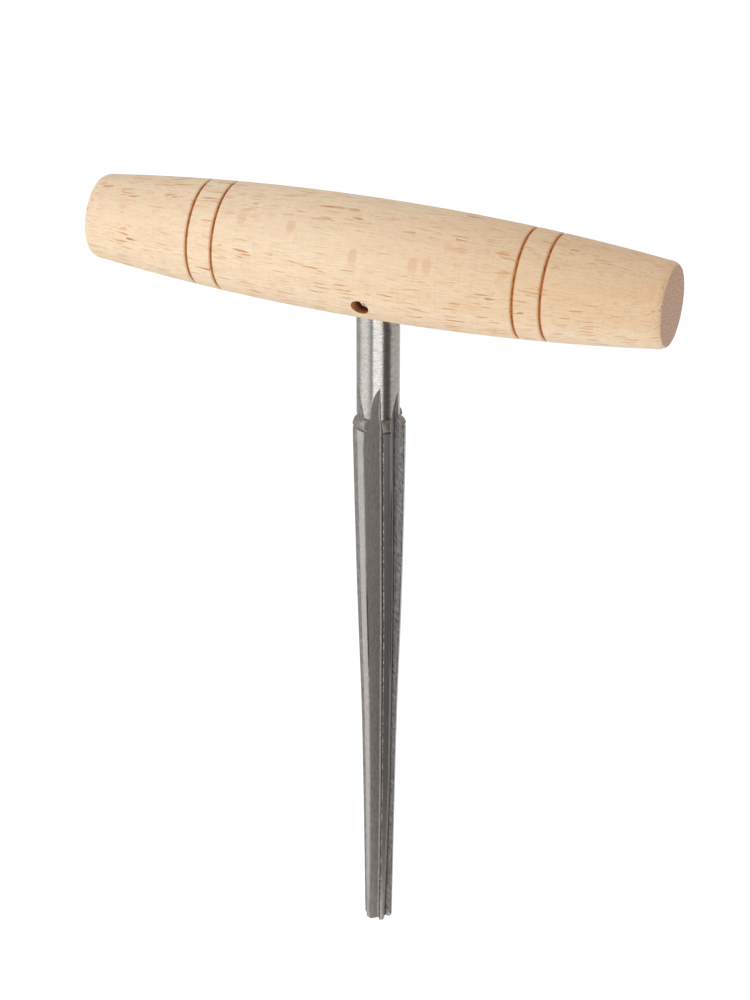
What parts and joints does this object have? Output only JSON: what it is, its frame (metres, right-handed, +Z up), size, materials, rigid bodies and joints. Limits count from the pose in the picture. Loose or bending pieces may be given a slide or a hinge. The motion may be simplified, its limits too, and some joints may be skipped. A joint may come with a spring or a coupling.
{
  "type": "peg reamer",
  "caption": "Hand reamer with a turned wooden cross handle and a long fluted taper blade, pinned through the shank, for reaming tapered holes in wood.",
  "frame": {"origin": "centre of the flat face at the small end of the blade, on the blade's axis", "axes": "+Z up the blade and shank towards the handle, +X along the handle to its right end, -Y is the front"},
  "size_m": [0.11, 0.0218, 0.155],
  "materials": {
    "handle_wood": "fine sanded bare beech with burnt turned grooves",
    "reamer_steel": "ground tool steel, bright shank and darker flutes",
    "pin_steel": "plain rolled spring steel"
  },
  "bodies": {
    "root": {"handle": "handle_wood", "reamer": "reamer_steel", "spring_pin": "pin_steel"}
  },
  "joints": []
}
